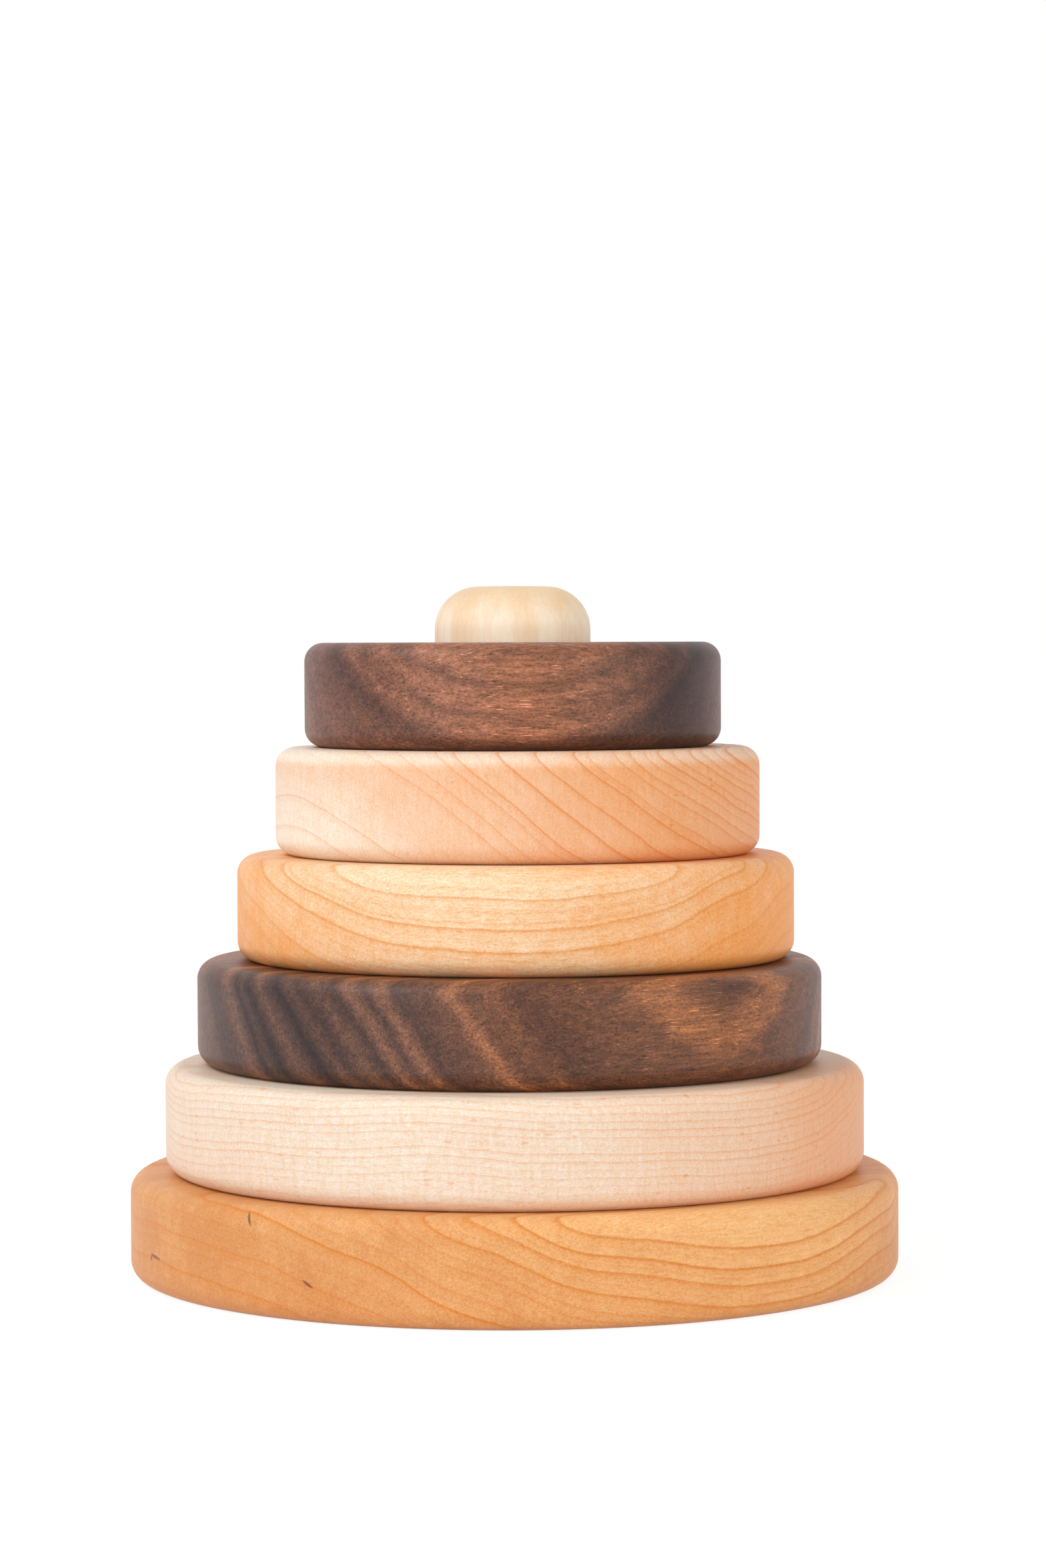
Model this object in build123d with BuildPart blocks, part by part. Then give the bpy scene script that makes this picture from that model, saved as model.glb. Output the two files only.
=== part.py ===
"""A wooden stacking ring toy: a base disc with a glued-in peg, and five rings that lift off it.

The frame has +Z up. Its origin is the centre of the base's underside, on the peg's axis.
Sizes are in millimetres.
"""

from build123d import *
from math import radians, tan
import os

INCH = 25.4

# Boards: each wood is planed to its own thickness.
CHERRY_THICKNESS = 19.0
MAPLE_THICKNESS = 19.45
WALNUT_THICKNESS = 18.9

# Discs and rings: the diameters step down by about half an inch.
BASE_DIAMETER = 5.5 * INCH
RING_BORE = 1.25 * INCH
RIM_ROUNDING = 3.4
BORE_ROUNDING = 1.6

# Peg: a hardwood dowel with a well rounded top.
PEG_DIAMETER = 28.3
PEG_ABOVE_STACK = 10.1
PEG_TOP_ROUNDING = 7.9
PEG_FOOT_CHAMFER = 1.0
SOCKET_DEPTH = 11.0
GLUE_GAP = 0.1

# Screw: a No. 8 flat-head wood screw, driven up from the underside into the peg.
SCREW_LENGTH = 1.25 * INCH
SCREW_HEAD_DIAMETER = 8.3
SCREW_HEAD_ANGLE = 82
SCREW_HEAD_RIM = 0.1
SCREW_SHANK_DIAMETER = 4.17
SCREW_ROOT_DIAMETER = 2.9
SCREW_SMOOTH_LENGTH = 9.0
SCREW_TIP_LENGTH = 5.0
SCREW_PITCH = 2.82
THREAD_RIDGE = 0.9
RECESS_WIDTH = 1.1
RECESS_SPAN = 4.4
RECESS_DEPTH = 1.9
SHANK_CLEARANCE = 0.15
PILOT_EXTRA_DEPTH = 1.5

# Plug: a short round of cherry that closes the screw's counterbore flush with the underside.
COUNTERBORE_DIAMETER = 9.5
COUNTERBORE_DEPTH = 4.0
PLUG_CHAMFER = 0.4

# Each ring: name, board thickness, outside diameter, and how far it lies off the peg's axis
# within the play of its bore, bottom to top.
RINGS = [
    ("lower_maple_ring", MAPLE_THICKNESS, 127.0, (0.1, -0.6)),
    ("lower_walnut_ring", WALNUT_THICKNESS, 113.6, (-0.8, 0.4)),
    ("cherry_ring", CHERRY_THICKNESS, 101.3, (0.4, 0.1)),
    ("upper_maple_ring", MAPLE_THICKNESS, 88.0, (0.8, -0.4)),
    ("upper_walnut_ring", WALNUT_THICKNESS, 75.8, (0.0, 0.2)),
]

STACK_HEIGHT = CHERRY_THICKNESS + sum(thickness for _, thickness, _, _ in RINGS)
PEG_FOOT = CHERRY_THICKNESS - SOCKET_DEPTH
PEG_TOP = STACK_HEIGHT + PEG_ABOVE_STACK
SCREW_TIP = COUNTERBORE_DEPTH + SCREW_LENGTH


def make_ring(diameter, thickness, bottom, shift):
    """A flat ring with its outer rims and its bore's mouths rounded over."""
    with BuildPart() as ring:
        with BuildSketch(Plane(origin=(*shift, bottom))):
            Circle(diameter / 2)
            Circle(RING_BORE / 2, mode=Mode.SUBTRACT)
        extrude(amount=thickness)
        mouths, rims = ring.edges().filter_by(GeomType.CIRCLE).group_by(SortBy.RADIUS)
        fillet(rims, radius=RIM_ROUNDING)
        fillet(mouths, radius=BORE_ROUNDING)
    return ring.part


def make_base_disc():
    """The base, with the peg's socket above and the screw's countersunk way in below."""
    with BuildPart() as base_disc:
        Cylinder(
            BASE_DIAMETER / 2,
            CHERRY_THICKNESS,
            align=(Align.CENTER, Align.CENTER, Align.MIN),
        )
        fillet(base_disc.edges().filter_by(GeomType.CIRCLE), radius=RIM_ROUNDING)
        with Locations(Plane.XY.offset(CHERRY_THICKNESS)):
            Hole(PEG_DIAMETER / 2 + GLUE_GAP, depth=SOCKET_DEPTH)
        with Locations(Plane.XY.offset(COUNTERBORE_DEPTH).rotated((180, 0, 0))):
            CounterSinkHole(
                SCREW_SHANK_DIAMETER / 2 + SHANK_CLEARANCE,
                SCREW_HEAD_DIAMETER / 2 + SHANK_CLEARANCE,
                depth=PEG_FOOT - COUNTERBORE_DEPTH,
                counter_sink_angle=SCREW_HEAD_ANGLE,
            )
        with BuildSketch(Plane.XY):
            Circle(COUNTERBORE_DIAMETER / 2)
        extrude(amount=COUNTERBORE_DEPTH, mode=Mode.SUBTRACT)
    return base_disc.part


def make_peg():
    """The dowel, from its foot in the socket to its rounded top, drilled for the screw."""
    radius = PEG_DIAMETER / 2
    shank_depth = COUNTERBORE_DEPTH + SCREW_SMOOTH_LENGTH - PEG_FOOT
    pilot_depth = SCREW_TIP + PILOT_EXTRA_DEPTH - PEG_FOOT
    with BuildPart() as peg:
        with BuildSketch(Plane.XY.offset(PEG_FOOT)):
            Circle(radius)
        extrude(amount=PEG_TOP - PEG_FOOT)
        ends = peg.edges().filter_by(GeomType.CIRCLE).sort_by(Axis.Z)
        chamfer(ends[0], length=PEG_FOOT_CHAMFER)
        fillet(ends[-1], radius=PEG_TOP_ROUNDING)
        with Locations(Plane.XY.offset(PEG_FOOT).rotated((180, 0, 0))):
            CounterBoreHole(
                SCREW_ROOT_DIAMETER / 2,
                SCREW_SHANK_DIAMETER / 2 + SHANK_CLEARANCE,
                counter_bore_depth=shank_depth,
                depth=pilot_depth,
            )
    return peg.part


def make_screw():
    """The wood screw, head down: a countersunk head, a smooth shank, thread ridges and a tip."""
    head = COUNTERBORE_DEPTH
    shank_top = head + SCREW_SMOOTH_LENGTH
    thread_top = SCREW_TIP - SCREW_TIP_LENGTH
    ridges = int((thread_top - shank_top) / SCREW_PITCH)
    root, crest = SCREW_ROOT_DIAMETER / 2, SCREW_SHANK_DIAMETER / 2
    taper = (SCREW_HEAD_DIAMETER / 2 - crest) / tan(radians(SCREW_HEAD_ANGLE / 2))
    outline = [
        (0, head),
        (SCREW_HEAD_DIAMETER / 2, head),
        (SCREW_HEAD_DIAMETER / 2, head + SCREW_HEAD_RIM),
        (crest, head + SCREW_HEAD_RIM + taper),
        (crest, shank_top),
        (root, shank_top + THREAD_RIDGE / 2),
    ]
    for ridge in range(1, ridges):
        height = shank_top + ridge * SCREW_PITCH
        outline += [
            (root, height - THREAD_RIDGE / 2),
            (crest, height),
            (root, height + THREAD_RIDGE / 2),
        ]
    outline += [(root, thread_top), (0, SCREW_TIP)]
    with BuildPart() as screw:
        with BuildSketch(Plane.XZ):
            with BuildLine():
                Polyline(*outline, close=True)
            make_face()
        revolve(axis=Axis.Z)
        with BuildSketch(Plane.XY.offset(head)):
            Rectangle(RECESS_SPAN, RECESS_WIDTH)
            Rectangle(RECESS_WIDTH, RECESS_SPAN)
        extrude(amount=RECESS_DEPTH, taper=12, mode=Mode.SUBTRACT)
    return screw.part


def make_plug():
    """The wooden plug under the screw's head, flush with the underside."""
    with BuildPart() as plug:
        with BuildSketch(Plane.XY):
            Circle(COUNTERBORE_DIAMETER / 2 - GLUE_GAP / 2)
        extrude(amount=COUNTERBORE_DEPTH - GLUE_GAP)
        inner_rim = plug.edges().filter_by(GeomType.CIRCLE).sort_by(Axis.Z)[-1]
        chamfer(inner_rim, length=PLUG_CHAMFER)
    return plug.part


pieces = {
    "base_disc": make_base_disc(),
    "peg": make_peg(),
    "peg_screw": make_screw(),
    "screw_plug": make_plug(),
}
ring_bottom = CHERRY_THICKNESS
for name, thickness, diameter, shift in RINGS:
    pieces[name] = make_ring(diameter, thickness, ring_bottom, shift)
    ring_bottom += thickness

os.makedirs("parts", exist_ok=True)
for name, piece in pieces.items():
    piece.label = name
    export_step(piece, f"parts/{name}.step")
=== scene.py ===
"""The looks of a wooden stacking ring toy: cherry base, maple peg, rings of maple, walnut and cherry.

Everything is in metres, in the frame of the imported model, with +Z up and the front facing -Y. Each wooden
piece is turned from a profile, and its grain is a procedural board of its own species, read in Object
coordinates, so that the figure runs through the piece from the rim to the faces.
"""

import bmesh
import bpy
from math import cos, hypot, pi, radians, sin
from mathutils import Matrix, Vector, noise


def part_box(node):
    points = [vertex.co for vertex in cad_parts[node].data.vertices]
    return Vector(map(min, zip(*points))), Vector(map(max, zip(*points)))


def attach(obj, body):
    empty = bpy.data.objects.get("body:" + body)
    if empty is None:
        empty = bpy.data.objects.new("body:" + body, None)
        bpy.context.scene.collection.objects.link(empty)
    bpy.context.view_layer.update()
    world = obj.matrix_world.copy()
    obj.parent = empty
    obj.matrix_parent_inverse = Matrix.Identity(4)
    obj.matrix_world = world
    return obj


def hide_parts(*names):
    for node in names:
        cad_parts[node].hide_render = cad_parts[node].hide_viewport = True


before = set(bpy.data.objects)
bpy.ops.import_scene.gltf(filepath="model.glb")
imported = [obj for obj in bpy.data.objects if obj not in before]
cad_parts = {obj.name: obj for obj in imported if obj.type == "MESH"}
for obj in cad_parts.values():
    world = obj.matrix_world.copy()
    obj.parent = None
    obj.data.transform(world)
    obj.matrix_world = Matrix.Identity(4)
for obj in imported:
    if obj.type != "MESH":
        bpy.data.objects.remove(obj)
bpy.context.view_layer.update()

MM = 0.001
WHITE = (1.0, 1.0, 1.0, 1.0)
SAME_PLACE = 0.001 * MM

# Turning: how the blanks are rounded over.
RING_BORE = 31.75 * MM
RIM_ROUNDING = 3.4 * MM
BORE_ROUNDING = 1.6 * MM
PEG_TOP_ROUNDING = 7.9 * MM
PEG_FOOT_CHAMFER = 1.0 * MM
ROUND_STEPS = 192
RIM_STEPS = 10
MOUTH_STEPS = 6
PEG_TOP_STEPS = 16
LONG_FACE = 4 * MM
SANDING_WOBBLE = 0.12 * MM
SANDING_WAVES_ROUND = 22
SANDING_WAVES_UP = 40
BASE_SANDING = 3.7

# The base's inside: the peg's socket, and the screw's countersunk way in from below.
SOCKET_GAP = 0.1 * MM
COUNTERBORE_RADIUS = 4.75 * MM
COUNTERBORE_DEPTH = 4.0 * MM
HEAD_SEAT_RADIUS = 4.3 * MM
SHANK_HOLE_RADIUS = 2.235 * MM
COUNTERSINK_DEPTH = 2.375 * MM


# ---------------------------------------------------------------------------------------------------------
# Camera
# ---------------------------------------------------------------------------------------------------------

CAMERA_PLACE = Vector((0.0, -0.762, 0.11507))
CAMERA_LENS = 96.2
CAMERA_SENSOR = 36.0
CAMERA_TURN_RIGHT = radians(0.135)
CAMERA_TILT_DOWN = radians(1.967)
CAMERA_ROLL = radians(-0.195)


def place_camera():
    """A long lens at about the height of the top ring, level enough to show the rings' rims."""
    lens = bpy.data.cameras.new("camera")
    lens.lens = CAMERA_LENS
    lens.sensor_width = CAMERA_SENSOR
    lens.sensor_height = CAMERA_SENSOR
    lens.sensor_fit = "AUTO"
    lens.clip_start = 0.01
    camera = bpy.data.objects.new("camera", lens)
    bpy.context.scene.collection.objects.link(camera)
    turn = Matrix.Rotation(-CAMERA_TURN_RIGHT, 4, "Z")
    tilt = Matrix.Rotation(pi / 2 - CAMERA_TILT_DOWN, 4, "X")
    roll = Matrix.Rotation(CAMERA_ROLL, 4, "Z")
    camera.matrix_world = Matrix.Translation(CAMERA_PLACE) @ turn @ tilt @ roll
    bpy.context.scene.camera = camera


# ---------------------------------------------------------------------------------------------------------
# Shader bench: sockets that take part in arithmetic
# ---------------------------------------------------------------------------------------------------------


class Signal:
    """One value that varies over a surface. Arithmetic on it adds Math nodes to its material."""

    def __init__(self, bench, socket):
        self.bench = bench
        self.socket = socket

    def math(self, operation, *others):
        return self.bench.node("ShaderNodeMath", {"operation": operation}, [self, *others])

    def __add__(self, other):
        return self.math("ADD", other)

    def __radd__(self, other):
        return self.math("ADD", other)

    def __sub__(self, other):
        return self.math("SUBTRACT", other)

    def __rsub__(self, other):
        return self.bench.node("ShaderNodeMath", {"operation": "SUBTRACT"}, [other, self])

    def __mul__(self, other):
        return self.math("MULTIPLY", other)

    def __rmul__(self, other):
        return self.math("MULTIPLY", other)

    def __truediv__(self, other):
        return self.math("DIVIDE", other)

    def __pow__(self, other):
        return self.math("POWER", other)

    def sine(self):
        return self.math("SINE")

    def size(self):
        return self.math("ABSOLUTE")

    def floor(self):
        return self.math("FLOOR")

    def part(self):
        return self.math("FRACT")

    def most(self, other):
        return self.math("MAXIMUM", other)

    def ramp(self, low, high):
        """0 below low, 1 above high, and smooth between them; high may be the lesser."""
        settings = {"interpolation_type": "SMOOTHSTEP"}
        return self.bench.node("ShaderNodeMapRange", settings, [self, low, high, 0.0, 1.0])


class Bench:
    """The node tree of one material, or of the world."""

    def __init__(self, owner):
        owner.use_nodes = True
        self.owner = owner
        self.tree = owner.node_tree
        self.tree.nodes.clear()

    def node(self, kind, settings=None, inputs=(), output=0):
        """Adds a node, sets its settings, then its sockets' values or links, and returns its output."""
        made = self.tree.nodes.new(kind)
        for key, value in (settings or {}).items():
            if key == "stops":
                set_stops(made.color_ramp, value)
            else:
                setattr(made, key, value)
        named = inputs.items() if isinstance(inputs, dict) else enumerate(inputs)
        for key, value in named:
            if isinstance(value, Signal):
                self.tree.links.new(value.socket, made.inputs[key])
            else:
                made.inputs[key].default_value = value
        return Signal(self, made.outputs[output]) if len(made.outputs) else None

    def noise(self, place, scale, detail, roughness=0.5):
        """Soft noise about 0.5, from 0 to 1, of a place."""
        inputs = {"Vector": place, "Scale": scale, "Detail": detail, "Roughness": roughness}
        return self.node("ShaderNodeTexNoise", {"noise_dimensions": "3D"}, inputs)

    def cells(self, place, scale, output):
        """Scattered cells: the distance to the nearest one's middle, or its own random colour."""
        inputs = {"Vector": place, "Scale": scale}
        return self.node("ShaderNodeTexVoronoi", {"feature": "F1"}, inputs, output)

    def vector(self, x, y, z):
        return self.node("ShaderNodeCombineXYZ", None, [x, y, z])

    def split(self, vector):
        """The three parts of a vector or a colour."""
        return [self.node("ShaderNodeSeparateXYZ", None, [vector], axis) for axis in range(3)]

    def blend(self, amount, first, second):
        """Colour first turned into second by the amount."""
        settings = {"data_type": "RGBA", "blend_type": "MIX", "clamp_factor": True}
        return self.node("ShaderNodeMix", settings, {0: amount, 6: first, 7: second}, output=2)

    def tint(self, colour, change, weights):
        """A colour brightened where change is above 0, by its own weight in red, green and blue."""
        factor = self.vector(*(change * weight + 1.0 for weight in weights))
        return self.node("ShaderNodeVectorMath", {"operation": "MULTIPLY"}, [colour, factor])

    def bump(self, height, strength, distance):
        """A normal from a height of 0 to 1 that stands for the distance in metres."""
        inputs = {"Strength": strength, "Distance": distance, "Height": height}
        return self.node("ShaderNodeBump", None, inputs)

    def background_ray(self):
        """1 for rays that show what lies behind the toy: from the camera, off a gloss or through a glass."""
        path = "ShaderNodeLightPath"
        glossy = self.node(path, output="Is Glossy Ray")
        through = self.node(path, output="Is Transmission Ray")
        return self.node(path, output="Is Camera Ray").most(glossy).most(through)

    def finish(self, inputs):
        """Joins a Principled shader with these sockets to the output and returns the owner."""
        shader = self.node("ShaderNodeBsdfPrincipled", None, inputs)
        self.node("ShaderNodeOutputMaterial", None, {"Surface": shader})
        return self.owner


def set_stops(ramp, stops):
    """Gives a colour ramp its stops, each a place from 0 to 1 and a grey value or a colour."""
    ramp.interpolation = "LINEAR"
    while len(ramp.elements) < len(stops):
        ramp.elements.new(0.5)
    for element, (place, value) in zip(ramp.elements, stops):
        element.position = place
        element.color = value if isinstance(value, tuple) else (value, value, value, 1.0)


def shade(red, green, blue):
    """A colour given as display values from 0 to 255, in the linear values that shaders take."""
    linear = []
    for value in (red, green, blue):
        part = value / 255
        linear.append(part / 12.92 if part <= 0.04045 else ((part + 0.055) / 1.055) ** 2.4)
    return (*linear, 1.0)


# ---------------------------------------------------------------------------------------------------------
# Wood: a board's growth layers, its lines and its fibres
# ---------------------------------------------------------------------------------------------------------

# How much the fibres' shimmer moves red, green and blue: pale woods turn warmer where they darken.
PALE_SHIMMER = (0.3, 0.9, 1.8)
WALNUT_SHIMMER = (1.1, 1.15, 1.4)

# How much each finish shines.
PALE_GLOSS = 0.2
WALNUT_GLOSS = 0.3
PEG_GLOSS = 0.3

SCAR_TONE = (104, 62, 56)
SCAR_THICKNESS = 0.3
LINES_PER_RAMP = 7


class Board:
    """The board that a piece is cut from. Places are in mm from the piece's centre.

    heading turns the grain: at 0 it runs along X, and the U of the layers faces the front. tilt is how
    steeply the growth layers lie across the grain at the centre, and pith is the distance to the heart of
    the tree, below 0 if the heart is under the board. Each sway is a wave in the layers, given by its
    length, its direction from the grain, its height and its phase. The boards' headings, tilts, piths and
    sways were found by a separate fitting program and not chosen by hand.
    """

    def __init__(self, bench, centre, heading, tilt, pith, sways=()):
        self.bench = bench
        self.heading = heading
        place = bench.node("ShaderNodeTexCoord", output=3)
        frame_settings = {"vector_type": "TEXTURE"}
        grain_frame = {
            "Vector": place,
            "Location": centre,
            "Rotation": (0.0, 0.0, radians(heading)),
            "Scale": (MM, MM, MM),
        }
        self.place = bench.node("ShaderNodeMapping", frame_settings, grain_frame)
        self.along, self.across, self.up = bench.split(self.place)
        heart_across = -pith * sin(radians(tilt))
        heart_up = pith * cos(radians(tilt))
        reach = ((self.across - heart_across) ** 2 + (self.up - heart_up) ** 2) ** 0.5
        self.depth = pith - reach if pith > 0 else reach + pith
        for length, direction, height, phase in sways:
            turn = 2 * pi / length
            wave = self.along * (turn * cos(radians(direction)))
            wave = wave + self.across * (turn * sin(radians(direction)))
            self.depth = self.depth + (wave + radians(phase)).sine() * height
        facing = bench.split(bench.node("ShaderNodeTexCoord", output=1))
        end = facing[0] * cos(radians(heading)) + facing[1] * sin(radians(heading))
        self.end_grain = end.size()

    def stretched(self, along, up=1.0):
        """Places squeezed along the grain, so that noise on them runs out into streaks."""
        settings = {"vector_type": "POINT"}
        inputs = {"Vector": self.place, "Scale": (along, 1.0, up)}
        return self.bench.node("ShaderNodeMapping", settings, inputs)

    def drifted(self, amount, scale):
        """The depth in the layers, with small irregular wandering added."""
        return self.depth + (self.bench.noise(self.stretched(0.4), scale, 4.0, 0.55) - 0.5) * amount

    def lines(self, depth, marks, lead=1.6, edge=0.42, tail=0.2, shadow=0.35):
        """Growth lines at given depths: a faint shadow deepens over lead, then a thin line ends it."""
        total = 0.0
        for first in range(0, len(marks), LINES_PER_RAMP):
            group = marks[first : first + LINES_PER_RAMP]
            low = group[0][0] - 2 * lead
            high = group[-1][0] + lead
            stops = [(0.0, 0.0)]
            for place, strength in group:
                room = place - (low + stops[-1][0] * (high - low))
                start = min(lead, 0.9 * room)
                rise = min(edge, 0.5 * room)
                stops.append(((place - start - low) / (high - low), 0.0))
                stops.append(((place - rise - low) / (high - low), strength * shadow))
                stops.append(((place - low) / (high - low), strength))
                stops.append(((place + tail - low) / (high - low), 0.0))
            scaled = (depth - low) / (high - low)
            total = self.bench.node("ShaderNodeValToRGB", {"stops": stops}, [scaled]) + total
        return total

    def bands(self, depth, tones):
        """A tone from 0 to 1 for each depth, from pairs of depth and tone."""
        low = tones[0][0]
        high = tones[-1][0]
        stops = [((place - low) / (high - low), tone) for place, tone in tones]
        scaled = (depth - low) / (high - low)
        return self.bench.node("ShaderNodeValToRGB", {"stops": stops}, [scaled])

    def fine_lines(self, depth, spacing, sharpness):
        """Evenly grown thin lines, each of its own strength."""
        year = depth / spacing
        line = year.part() ** sharpness
        settings = {"noise_dimensions": "1D"}
        strength = self.bench.node("ShaderNodeTexWhiteNoise", settings, {"W": year.floor()})
        return line * (strength * 0.7 + 0.3)

    def scar(self, azimuth, height, reach, lean):
        """A short thin dark scar on the rim. Azimuth 0 is in front and grows to the right."""
        turn = radians(azimuth - self.heading)
        outward = self.along * sin(turn) - self.across * cos(turn)
        sideways = self.along * cos(turn) + self.across * sin(turn)
        rise = self.up - height
        run = sideways * (cos(radians(lean)) / reach) + rise * (sin(radians(lean)) / reach)
        thick = (rise * cos(radians(lean)) - sideways * sin(radians(lean))) / SCAR_THICKNESS
        return (run * run + thick * thick).ramp(1.6, 0.2) * outward.ramp(1.0, 5.0)

    def flecks(self, scale, along, up, share):
        """Small scattered flecks, longer along the grain. share is how many of the cells hold one."""
        place = self.stretched(along, up)
        near = self.bench.cells(place, scale, "Distance")
        lot = self.bench.split(self.bench.cells(place, scale, "Color"))[0]
        return near.ramp(0.3, 0.12) * lot.ramp(1.0 - share, 1.02 - share)


def cherry(name, centre, board, marks, tones, ages, drift, gum=0.3, scars=()):
    """Oiled cherry: warm orange, thin brown growth lines, a grainy shimmer and short gum flecks."""
    bench = Bench(bpy.data.materials.new(name))
    wood = Board(bench, centre, *board)
    depth = wood.drifted(1.1, 0.12)
    lines = wood.lines(depth, marks)
    fine = wood.fine_lines(depth, 1.35, 3.0)
    cloud = bench.noise(wood.stretched(0.45), 0.08, 3.0)
    mottle = bench.noise(wood.stretched(0.8, 0.6), 0.45, 3.0, 0.6)
    fibre = bench.noise(wood.stretched(0.12), 2.4, 3.0, 0.65)
    grain = bench.noise(wood.stretched(0.5), 4.0, 2.0, 0.6)
    specks = wood.flecks(1.1, 0.3, 1.6, 0.2)
    light, deep, line_tone = (shade(*tone) for tone in tones)
    age = wood.bands(depth, ages) + wood.bands(wood.along, drift) - 0.5
    mixed = age + (cloud - 0.5) * 0.9 + (mottle - 0.5) * 0.7
    colour = bench.blend(mixed, light, deep)
    colour = bench.blend(lines * 0.85 + fine * 0.25 + specks * gum, colour, line_tone)
    colour = bench.tint(colour, (fibre - 0.5) * 0.7 + (grain - 0.5) * 0.9, PALE_SHIMMER)
    for scar in scars:
        colour = bench.blend(wood.scar(*scar) * 0.75, colour, shade(*SCAR_TONE))
    height = fibre * 0.6 + grain * 0.3 - lines * 0.2
    return bench.finish(
        {
            "Base Color": colour,
            "Roughness": fibre * 0.2 + 0.34,
            "Normal": bench.bump(height, 0.35, 0.06 * MM),
            "Specular IOR Level": PALE_GLOSS,
        }
    )


def maple(name, centre, board, marks, tones, ages, drift, spacing, fine_strength, rust=0.16, painted_top_sheen=0.0):
    """Oiled hard maple: pale and creamy, thin tan growth lines, small rust flecks and upright rays.

    The last argument is how much paler the top edge is painted: a painted sheen where the light catches the
    top rounding.
    """
    bench = Bench(bpy.data.materials.new(name))
    wood = Board(bench, centre, *board)
    depth = wood.drifted(0.9, 0.14)
    lines = wood.lines(depth, marks, lead=1.3, edge=0.28, tail=0.14, shadow=0.3) if marks else 0.0
    fine = wood.fine_lines(wood.drifted(1.6, 0.1), spacing, 4.0)
    cloud = bench.noise(wood.stretched(0.5), 0.06, 3.0)
    fibre = bench.noise(wood.stretched(0.12), 2.4, 3.0, 0.65)
    grain = bench.noise(wood.stretched(0.5), 4.0, 2.0, 0.6)
    rays = bench.noise(wood.stretched(1.0, 0.16), 1.5, 2.0, 0.6)
    specks = wood.flecks(0.55, 0.45, 1.6, rust)
    light, deep, line_tone = (shade(*tone) for tone in tones)
    age = wood.bands(wood.depth, ages) + wood.bands(wood.along, drift) - 0.5
    # The top edge is painted paler: a painted sheen where the light catches the top rounding.
    mixed = age + (cloud - 0.5) * 0.5 - wood.up.ramp(6.6, 8.6) * painted_top_sheen
    colour = bench.blend(mixed, light, deep)
    strength = mixed.ramp(-0.4, 1.2) * 0.6 + 0.6
    colour = bench.blend((fine * fine_strength + lines * 0.85 + specks * 0.5) * strength, colour, line_tone)
    change = (fibre - 0.5) * 0.4 + (rays - 0.5) * 0.3 + (grain - 0.5) * 0.6
    colour = bench.tint(colour, change, PALE_SHIMMER)
    return bench.finish(
        {
            "Base Color": colour,
            "Roughness": fibre * 0.18 + 0.36,
            "Normal": bench.bump(fibre + rays * 0.5 - fine * 0.2, 0.2, 0.05 * MM),
            "Specular IOR Level": PALE_GLOSS,
        }
    )


def walnut(name, centre, board, bands, side_tones, end_tones, drift):
    """Oiled walnut: purple-brown at the end grain and orange-brown at the side grain, with bright fibres."""
    bench = Bench(bpy.data.materials.new(name))
    wood = Board(bench, centre, *board)
    depth = wood.drifted(1.2, 0.14)
    tone = wood.bands(depth, bands) * wood.bands(wood.along, drift)
    cloud = bench.noise(wood.stretched(0.3), 0.12, 3.0)
    fibre = bench.noise(wood.stretched(0.07), 2.6, 4.0, 0.7)
    grain = bench.noise(wood.stretched(0.5), 3.6, 3.0, 0.7)
    pores = wood.flecks(1.6, 0.12, 1.2, 0.3)
    glints = wood.flecks(2.2, 0.09, 1.3, 0.3)
    side_dark, side_light, end_dark, end_light = (shade(*colour) for colour in (*side_tones, *end_tones))
    streaks = bench.noise(wood.stretched(0.1), 0.9, 3.0, 0.6)
    tone = tone * ((cloud - 0.5) * 0.6 + (streaks - 0.5) * 1.7 + 1.0)
    side = bench.blend(tone, side_dark, side_light)
    end = bench.blend(tone, end_dark, end_light)
    colour = bench.blend(wood.end_grain ** 2.0, side, end)
    change = (fibre - 0.5) * 2.0 + (grain - 0.5) * 2.1 - pores * 0.45 + glints * (1.0 - wood.end_grain) * 1.6
    colour = bench.tint(colour, change, WALNUT_SHIMMER)
    return bench.finish(
        {
            "Base Color": colour,
            "Roughness": fibre * 0.2 + 0.34,
            "Normal": bench.bump(fibre + grain * 0.4 - pores * 0.4, 0.4, 0.07 * MM),
            "Specular IOR Level": WALNUT_GLOSS,
        }
    )


def dowel(name, centre):
    """The peg's maple, with its fibres standing up along the peg."""
    bench = Bench(bpy.data.materials.new(name))
    place = bench.node("ShaderNodeTexCoord", output=3)
    upright = bench.node(
        "ShaderNodeMapping",
        {"vector_type": "TEXTURE"},
        {"Vector": place, "Location": centre, "Scale": (MM, MM, 8 * MM)},
    )
    fibre = bench.noise(upright, 1.8, 3.0, 0.6)
    cloud = bench.noise(upright, 0.2, 3.0)
    facing = bench.split(bench.node("ShaderNodeTexCoord", output=1))
    # The upward-facing top is darkened toward a deeper tone. This is partly the end grain's own darker
    # colour and partly painted shade that holds back the strong light from above.
    end_grain = facing[2].ramp(0.1, 0.9)
    colour = bench.blend(cloud.ramp(0.35, 0.7), shade(255, 239, 216), shade(247, 216, 178))
    colour = bench.blend(end_grain * 0.75, colour, shade(226, 192, 150))
    colour = bench.tint(colour, (fibre - 0.5) * 0.35, PALE_SHIMMER)
    return bench.finish(
        {
            "Base Color": colour,
            "Roughness": fibre * 0.14 + 0.4,
            "Normal": bench.bump(fibre, 0.3, 0.05 * MM),
            "Specular IOR Level": PEG_GLOSS,
        }
    )


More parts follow.
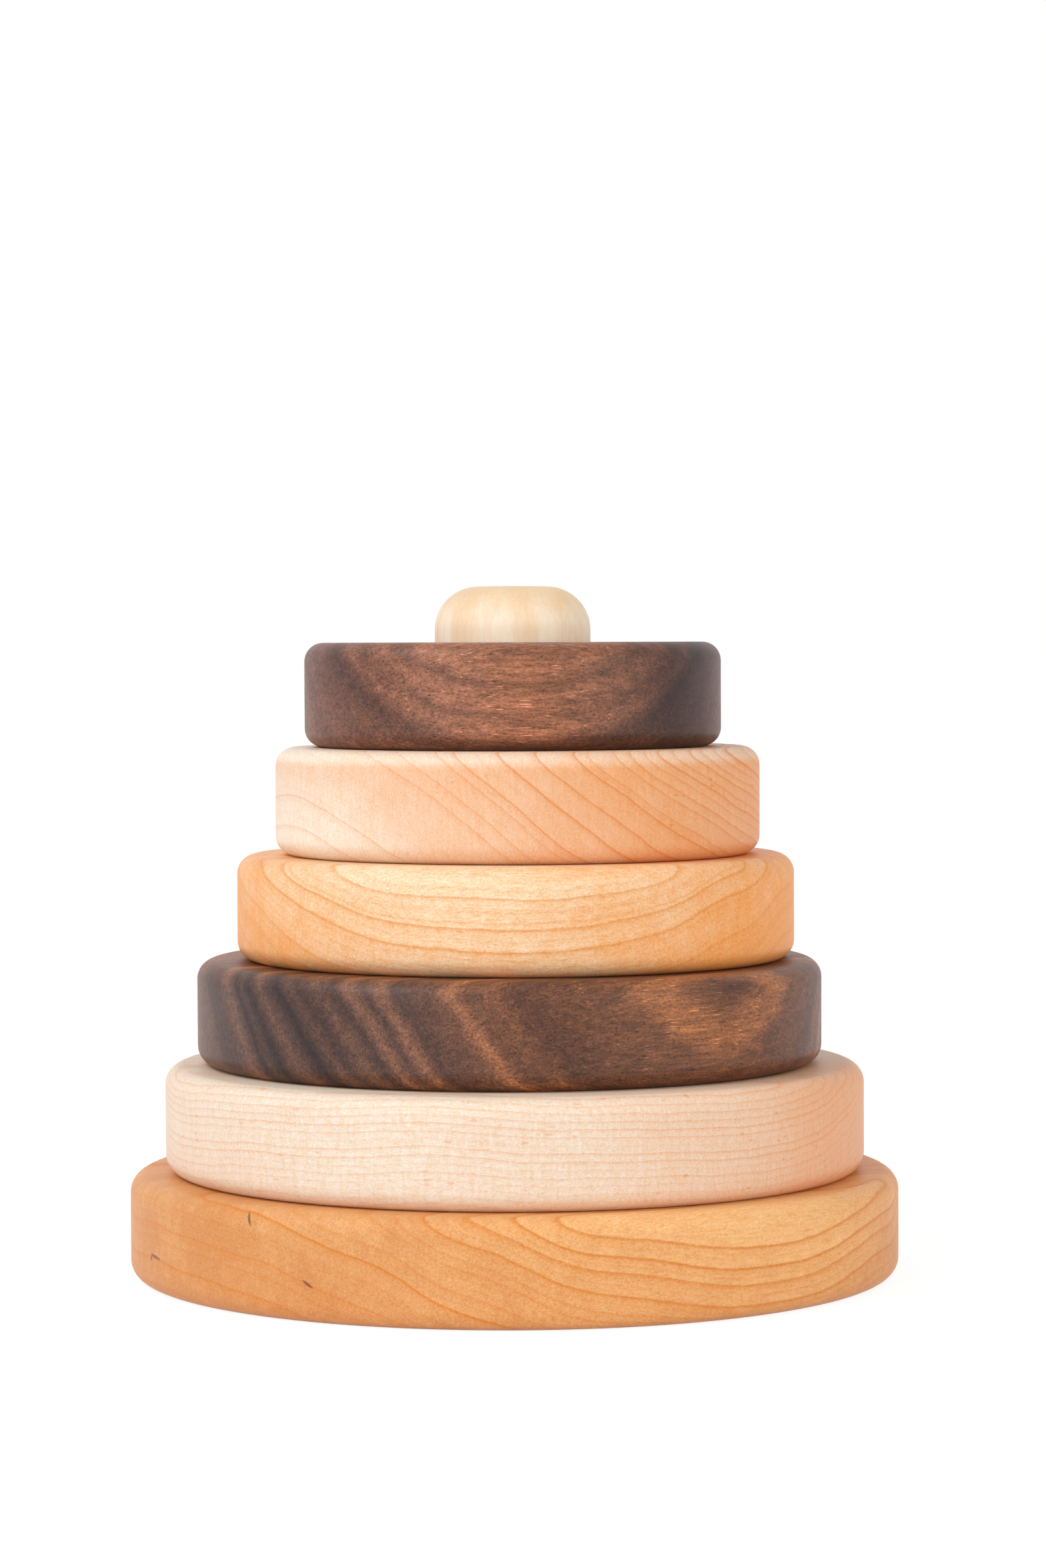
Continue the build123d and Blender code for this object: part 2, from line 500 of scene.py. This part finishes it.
def steel(name):
    """Bright zinc-plated steel, a little dulled."""
    bench = Bench(bpy.data.materials.new(name))
    place = bench.node("ShaderNodeTexCoord", output=3)
    haze = bench.noise(place, 900.0, 3.0)
    colour = bench.blend(haze, shade(196, 194, 188), shade(170, 168, 160))
    return bench.finish({"Base Color": colour, "Metallic": 1.0, "Roughness": haze * 0.2 + 0.25})


# ---------------------------------------------------------------------------------------------------------
# Turned pieces
# ---------------------------------------------------------------------------------------------------------


def spun(outline, centre):
    """A closed solid of revolution about the upright through centre, from (radius, height) corners."""
    shape = bmesh.new()
    corners = [shape.verts.new((centre.x + radius, centre.y, height)) for radius, height in outline]
    pairs = zip(corners, corners[1:] + corners[:1])
    edges = [shape.edges.new(pair) for pair in pairs if any(abs(v.co.x - centre.x) > 1e-9 for v in pair)]
    axis_point = Vector((centre.x, centre.y, 0.0))
    bmesh.ops.spin(
        shape,
        geom=corners + edges,
        cent=axis_point,
        axis=(0.0, 0.0, 1.0),
        angle=2 * pi,
        steps=ROUND_STEPS,
        use_merge=True,
    )
    bmesh.ops.remove_doubles(shape, verts=shape.verts[:], dist=SAME_PLACE)
    bmesh.ops.recalc_face_normals(shape, faces=shape.faces[:])
    return shape


def circle_edges(shape, centre, radius, height):
    """The edges of the horizontal circle of that radius at that height."""
    found = []
    for edge in shape.edges:
        heights = [abs(v.co.z - height) < SAME_PLACE for v in edge.verts]
        radii = [abs(hypot(v.co.x - centre.x, v.co.y - centre.y) - radius) < 1e-5 for v in edge.verts]
        if all(heights) and all(radii):
            found.append(edge)
    return found


def round_over(shape, edges, radius, segments):
    """Rounds edges over with an arc."""
    bmesh.ops.bevel(
        shape,
        geom=edges,
        offset=radius,
        offset_type="OFFSET",
        segments=segments,
        profile=0.5,
        material=-1,
        affect="EDGES",
    )


def add_loops(shape, centre, cuts=6):
    """Cuts the long faces of a turned piece across, so that it can take the sander's slight waves."""
    long_edges = []
    for edge in shape.edges:
        first, second = (v.co for v in edge.verts)
        turned_apart = (Vector((first.x, first.y)) - Vector((second.x, second.y))).length
        steep = abs(first.z - second.z) > LONG_FACE
        radial = abs(hypot(*(first - centre).xy) - hypot(*(second - centre).xy)) > LONG_FACE
        if steep or (radial and turned_apart > LONG_FACE and abs(first.z - second.z) < SAME_PLACE):
            long_edges.append(edge)
    bmesh.ops.subdivide_edges(shape, edges=long_edges, cuts=cuts, use_grid_fill=True)


def hand_sand(shape, centre, outer, seed):
    """Lets the rim wander in and out a little, as sanding by hand leaves it. Flat faces stay flat."""
    for vertex in shape.verts:
        flat = vertex.co - centre
        radius = hypot(flat.x, flat.y)
        if radius < outer - 2 * RIM_ROUNDING:
            continue
        share = min(1.0, (radius - outer + 2 * RIM_ROUNDING) / RIM_ROUNDING)
        around = flat.xy * SANDING_WAVES_ROUND
        slow = noise.noise(Vector((around.x, around.y, vertex.co.z * SANDING_WAVES_UP + seed)))
        push = (slow - 1.0) / 2 * SANDING_WOBBLE * share
        vertex.co.x += flat.x / radius * push
        vertex.co.y += flat.y / radius * push


def add_piece(name, shape, material, body, node):
    """Turns a bmesh into a smooth shaded object that rides on a body and stands for a CAD node."""
    mesh = bpy.data.meshes.new(name)
    shape.to_mesh(mesh)
    shape.free()
    mesh.shade_smooth()
    mesh.materials.append(material)
    piece = bpy.data.objects.new(name, mesh)
    bpy.context.scene.collection.objects.link(piece)
    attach(piece, body)
    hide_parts(node)
    return piece


def measure(node):
    """The centre, outer radius, bottom and top of a round CAD node."""
    low, high = (Vector(corner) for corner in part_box(node))
    return (low + high) / 2, (high.x - low.x) / 2, low.z, high.z


def make_ring(node, material, seed):
    """A flat ring with its rims and the mouths of its bore rounded over."""
    centre, outer, bottom, top = measure(node)
    bore = RING_BORE / 2
    shape = spun([(bore, bottom), (outer, bottom), (outer, top), (bore, top)], centre)
    for height in (bottom, top):
        round_over(shape, circle_edges(shape, centre, outer, height), RIM_ROUNDING, RIM_STEPS)
        round_over(shape, circle_edges(shape, centre, bore, height), BORE_ROUNDING, MOUTH_STEPS)
    add_loops(shape, centre)
    hand_sand(shape, centre, outer, seed)
    return add_piece("turned_" + node, shape, material, node, node)


def make_base(material):
    """The base disc, with its socket above and the countersunk screw hole and counterbore below."""
    centre, outer, bottom, top = measure("base_disc")
    _, peg_radius, peg_foot, _ = measure("peg")
    socket = peg_radius + SOCKET_GAP
    outline = [
        (COUNTERBORE_RADIUS, bottom),
        (outer, bottom),
        (outer, top),
        (socket, top),
        (socket, peg_foot),
        (SHANK_HOLE_RADIUS, peg_foot),
        (SHANK_HOLE_RADIUS, COUNTERBORE_DEPTH + COUNTERSINK_DEPTH),
        (HEAD_SEAT_RADIUS, COUNTERBORE_DEPTH),
        (COUNTERBORE_RADIUS, COUNTERBORE_DEPTH),
    ]
    shape = spun(outline, centre)
    for height in (bottom, top):
        round_over(shape, circle_edges(shape, centre, outer, height), RIM_ROUNDING, RIM_STEPS)
    add_loops(shape, centre)
    hand_sand(shape, centre, outer, BASE_SANDING)
    return add_piece("turned_base_disc", shape, material, "base", "base_disc")


def make_peg(material):
    """The peg, with a well rounded top and a chamfered foot."""
    centre, radius, foot, top = measure("peg")
    shape = spun([(0.0, foot), (radius, foot), (radius, top), (0.0, top)], centre)
    round_over(shape, circle_edges(shape, centre, radius, top), PEG_TOP_ROUNDING, PEG_TOP_STEPS)
    round_over(shape, circle_edges(shape, centre, radius, foot), PEG_FOOT_CHAMFER, 1)
    return add_piece("turned_peg", shape, material, "base", "peg")


# ---------------------------------------------------------------------------------------------------------
# Light and floor
# ---------------------------------------------------------------------------------------------------------

LAMP_AIM = Vector((0.0, 0.0, 0.06))
SURROUND_LEVEL = 0.54
FLOOR_TONE = (0.9, 0.9, 0.9, 1.0)
FLOOR_GLOW = 1.22
FLOOR_GLOW_SHARE = 0.7
FLOOR_REACH = 30.0
COOL_WHITE = (0.96, 0.98, 1.0)
WARM_WHITE = (1.0, 0.93, 0.82)


def add_softbox(name, azimuth, elevation, distance, size, power, colour):
    """A square area lamp aimed at the middle of the toy. Azimuth 0 is in front and grows to the right."""
    lamp = bpy.data.lights.new(name, "AREA")
    lamp.shape = "SQUARE"
    lamp.size = size
    lamp.energy = power
    lamp.color = colour
    box = bpy.data.objects.new(name, lamp)
    bpy.context.scene.collection.objects.link(box)
    level = cos(radians(elevation)) * distance
    rise = sin(radians(elevation)) * distance
    place = Vector((sin(radians(azimuth)) * level, -cos(radians(azimuth)) * level, rise))
    box.location = place + LAMP_AIM
    box.rotation_euler = (LAMP_AIM - box.location).to_track_quat("-Z", "Y").to_euler()


def light_world(strength):
    """An even white surround, which shows as plain white behind the toy."""
    world = bpy.data.worlds.new("white_room")
    bpy.context.scene.world = world
    bench = Bench(world)
    level = bench.background_ray() * (1.0 - strength) + strength
    surround = bench.node("ShaderNodeBackground", None, {"Color": WHITE, "Strength": level})
    bench.node("ShaderNodeOutputWorld", None, {"Surface": surround})


def lay_floor():
    """A wide white floor that keeps a soft shadow of the toy."""
    shape = bmesh.new()
    bmesh.ops.create_grid(shape, x_segments=2, y_segments=2, size=FLOOR_REACH)
    mesh = bpy.data.meshes.new("floor")
    shape.to_mesh(mesh)
    shape.free()
    bench = Bench(bpy.data.materials.new("white_floor"))
    plain = bench.node("ShaderNodeBsdfDiffuse", None, {"Color": FLOOR_TONE})
    glow = bench.node("ShaderNodeEmission", None, {"Color": WHITE, "Strength": FLOOR_GLOW})
    share = bench.background_ray() * FLOOR_GLOW_SHARE
    surface = bench.node("ShaderNodeMixShader", None, [share, plain, glow])
    bench.node("ShaderNodeOutputMaterial", None, {"Surface": surface})
    mesh.materials.append(bench.owner)
    floor = bpy.data.objects.new("floor", mesh)
    bpy.context.scene.collection.objects.link(floor)


# ---------------------------------------------------------------------------------------------------------
# The toy
# ---------------------------------------------------------------------------------------------------------


def centre_of(node):
    """The middle of a node, where its board's places are measured from."""
    return tuple(measure(node)[0])


def make_toy():
    """Every piece in its own wood."""
    base_sways = [(21, 120, 0.38, -85), (36, 20, 0.75, -88), (36, 60, 0.49, 42), (21, 60, 0.33, -172)]
    base_board = (41, 9.2, -142, base_sways)
    base_marks = [
        (-8.6, 0.8), (-4.0, 0.8), (-0.3, 0.4), (2.1, 0.7), (6.2, 0.3), (9.4, 0.9), (12.3, 0.4),
        (15.8, 0.5), (17.4, 0.4), (20.0, 0.9), (23.2, 0.9), (25.5, 1.0), (28.4, 0.9),
    ]
    base_tones = [(240, 184, 124), (213, 145, 88), (214, 128, 46)]
    base_ages = [
        (-9.0, 0.9), (-6.0, 0.72), (4.0, 0.72), (8.0, 0.6), (14.0, 0.5), (18.0, 0.55), (21.0, 0.4),
        (25.0, 0.22), (32.0, 0.05),
    ]
    base_drift = [(-72.0, 0.7), (-30.0, 0.6), (0.0, 0.4), (15.0, 0.5), (40.0, 0.8)]
    base_scars = [
        (-64.6, -2.4, 2.2, -5.0), (-66.3, -2.7, 0.8, 60.0),
        (-40.5, 7.4, 1.3, -62.0), (-30.0, -2.6, 1.2, -30.0),
    ]
    base = cherry(
        "base_cherry", centre_of("base_disc"), base_board, base_marks, base_tones, base_ages, base_drift,
        scars=base_scars,
    )
    make_base(base)

    pale_sways = [(15, 100, 0.17, -19), (36, 0, 0.34, -145), (18, 100, 0.18, -17), (120, 160, 0.41, 127)]
    pale_board = (-17, 18, 128, pale_sways)
    pale_tones = [(236, 218, 198), (230, 170, 128), (228, 146, 82)]
    pale_ages = [(-10.0, 0.5), (15.0, 0.45)]
    pale_drift = [
        (-60.0, 0.2), (0.0, 0.0), (18.0, 0.05), (36.0, 0.24), (50.0, 0.4), (57.0, 0.68), (61.0, 0.9),
        (64.0, 1.0),
    ]
    pale_maple = maple(
        "pale_maple", centre_of("lower_maple_ring"), pale_board, [], pale_tones, pale_ages, pale_drift,
        spacing=1.35, fine_strength=0.7,
    )
    make_ring("lower_maple_ring", pale_maple, 11.0)

    streaked_board = (34.9, 55.4, -73.1, [(120, 0, 1.73, -34), (120, 120, 2.82, -1), (45, 80, 1.14, -152)])
    streaked_bands = [
        (-16.0, 0.6), (-8.0, 0.5), (-6.0, 0.32), (-1.0, 0.36), (3.0, 0.76), (5.0, 0.4), (6.3, 0.16),
        (7.8, 0.36), (10.0, 0.14), (12.5, 0.62), (14.0, 0.36), (15.8, 0.12), (17.8, 0.46), (19.1, 0.22),
        (21.0, 0.5), (23.2, 0.22), (24.6, 0.74), (26.3, 0.24), (27.6, 0.74), (29.4, 0.24), (32.0, 0.34),
        (33.8, 0.44), (35.2, 0.95), (36.8, 0.38), (39.0, 0.5), (41.0, 0.26), (44.0, 0.36), (48.2, 0.45),
        (49.4, 0.92), (51.0, 0.8), (51.6, 0.5), (52.3, 0.2),
    ]
    streaked_drift = [
        (-57.0, 0.85), (-51.0, 0.95), (-43.0, 1.0), (-20.0, 0.88), (-5.0, 0.8), (10.0, 0.85), (36.0, 1.0),
    ]
    streaked_sides = [(14, 12, 26), (172, 108, 66)]
    streaked_ends = [(10, 13, 24), (134, 93, 76)]
    streaked = walnut(
        "streaked_walnut", centre_of("lower_walnut_ring"), streaked_board, streaked_bands,
        streaked_sides, streaked_ends, streaked_drift,
    )
    make_ring("lower_walnut_ring", streaked, 23.0)

    honey_sways = [(36, 120, 0.6, 21), (18, 80, 0.47, 136), (70, 40, 1.62, 55), (45, 0, 0.88, 18)]
    honey_board = (-0.3, 3.6, -69, honey_sways)
    honey_marks = [
        (-1.0, 0.55), (3.3, 0.45), (7.0, 0.55), (13.1, 0.8), (16.2, 0.7), (17.0, 0.4), (18.4, 0.25),
        (20.2, 0.5),
    ]
    honey_tones = [(243, 212, 174), (239, 162, 93), (224, 138, 46)]
    honey_ages = [
        (-3.0, 0.85), (1.0, 0.72), (5.5, 0.66), (8.8, 0.48), (11.5, 0.48), (14.4, 0.32), (18.0, 0.28),
        (19.3, 0.2), (21.6, 0.0), (23.0, 0.3), (24.6, 0.8),
    ]
    honey_drift = [
        (-50.0, 0.75), (-30.0, 0.45), (-15.0, 0.38), (0.0, 0.35), (10.0, 0.45), (22.0, 0.75), (50.0, 0.9),
    ]
    honey = cherry(
        "honey_cherry", centre_of("cherry_ring"), honey_board, honey_marks, honey_tones, honey_ages,
        honey_drift,
    )
    make_ring("cherry_ring", honey, 37.0)

    lined_sways = [(90, 20, 3.0, 24), (45, 60, 0.52, 85), (18, 160, 0.12, 125), (90, 60, 0.45, -107)]
    lined_board = (78, 34, -150, lined_sways)
    lined_marks = [
        (-21.9, 0.5), (-16.9, 0.6), (-4.3, 0.5), (-1.5, 0.5), (2.1, 0.4), (3.9, 0.8), (8.8, 0.9),
        (12.8, 0.8), (16.8, 0.9), (18.1, 0.5), (20.7, 0.6), (22.1, 0.7), (23.6, 0.5), (24.9, 0.9),
        (26.0, 0.6), (27.4, 0.8), (28.4, 0.6), (29.6, 0.6), (30.6, 1.0), (32.0, 0.6), (33.5, 0.8),
    ]
    lined_tones = [(242, 226, 206), (232, 166, 114), (222, 132, 60)]
    lined_ages = [
        (-25.0, 0.0), (-18.0, 0.2), (-12.0, 0.48), (-5.5, 0.66), (0.0, 0.76), (8.0, 0.85), (16.0, 0.97),
        (35.0, 1.0),
    ]
    lined_drift = [(-60.0, 0.5), (60.0, 0.5)]
    # This ring's top edge gets a painted sheen.
    lined = maple(
        "lined_maple", centre_of("upper_maple_ring"), lined_board, lined_marks, lined_tones, lined_ages,
        lined_drift, spacing=2.2, fine_strength=0.12, rust=0.03, painted_top_sheen=0.5,
    )
    make_ring("upper_maple_ring", lined, 41.0)

    banded_board = (4.2, 49.7, -2000, [(36, 40, 0.88, 57), (60, 90, 1.87, 125), (40, 0, 0.78, -38)])
    banded_bands = [
        (4.0, 1.0), (7.0, 1.0), (9.8, 0.7), (12.2, 0.83), (15.4, 0.58), (17.0, 0.62), (20.2, 0.36),
        (21.2, 0.5), (22.6, 0.9), (24.3, 0.64), (26.6, 0.95), (28.1, 0.52), (29.5, 1.0), (30.8, 0.7),
        (33.0, 0.5), (34.4, 0.25), (36.0, 0.1),
    ]
    banded_drift = [
        (-36.6, 0.65), (-32.8, 0.68), (-27.0, 0.74), (-19.0, 0.92), (-10.0, 1.0), (0.0, 1.0), (10.0, 0.8),
        (19.0, 0.5), (26.0, 0.26), (32.0, 0.24), (36.6, 0.44),
    ]
    banded_sides = [(16, 12, 18), (165, 106, 77)]
    banded_ends = [(12, 12, 26), (147, 97, 79)]
    banded = walnut(
        "banded_walnut", centre_of("upper_walnut_ring"), banded_board, banded_bands,
        banded_sides, banded_ends, banded_drift,
    )
    make_ring("upper_walnut_ring", banded, 53.0)

    make_peg(dowel("peg_maple", centre_of("peg")))

    plug_board = (110, 20, 200)
    plug_marks = [(-2.0, 0.6), (1.5, 0.8)]
    even = [(-10.0, 0.5), (10.0, 0.5)]
    plug = cherry("plug_cherry", centre_of("screw_plug"), plug_board, plug_marks, base_tones, even, even)
    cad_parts["screw_plug"].data.materials[0] = plug
    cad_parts["peg_screw"].data.materials[0] = steel("screw_steel")


bpy.context.scene.view_settings.view_transform = "Standard"
place_camera()
light_world(SURROUND_LEVEL)
lay_floor()
add_softbox("window", azimuth=-36, elevation=7, distance=1.5, size=1.0, power=7.0, colour=COOL_WHITE)
add_softbox("skylight", azimuth=-62, elevation=50, distance=1.4, size=0.7, power=8.0, colour=COOL_WHITE)
add_softbox("warm_wall", azimuth=52, elevation=13, distance=1.8, size=1.3, power=11.6, colour=WARM_WHITE)
make_toy()
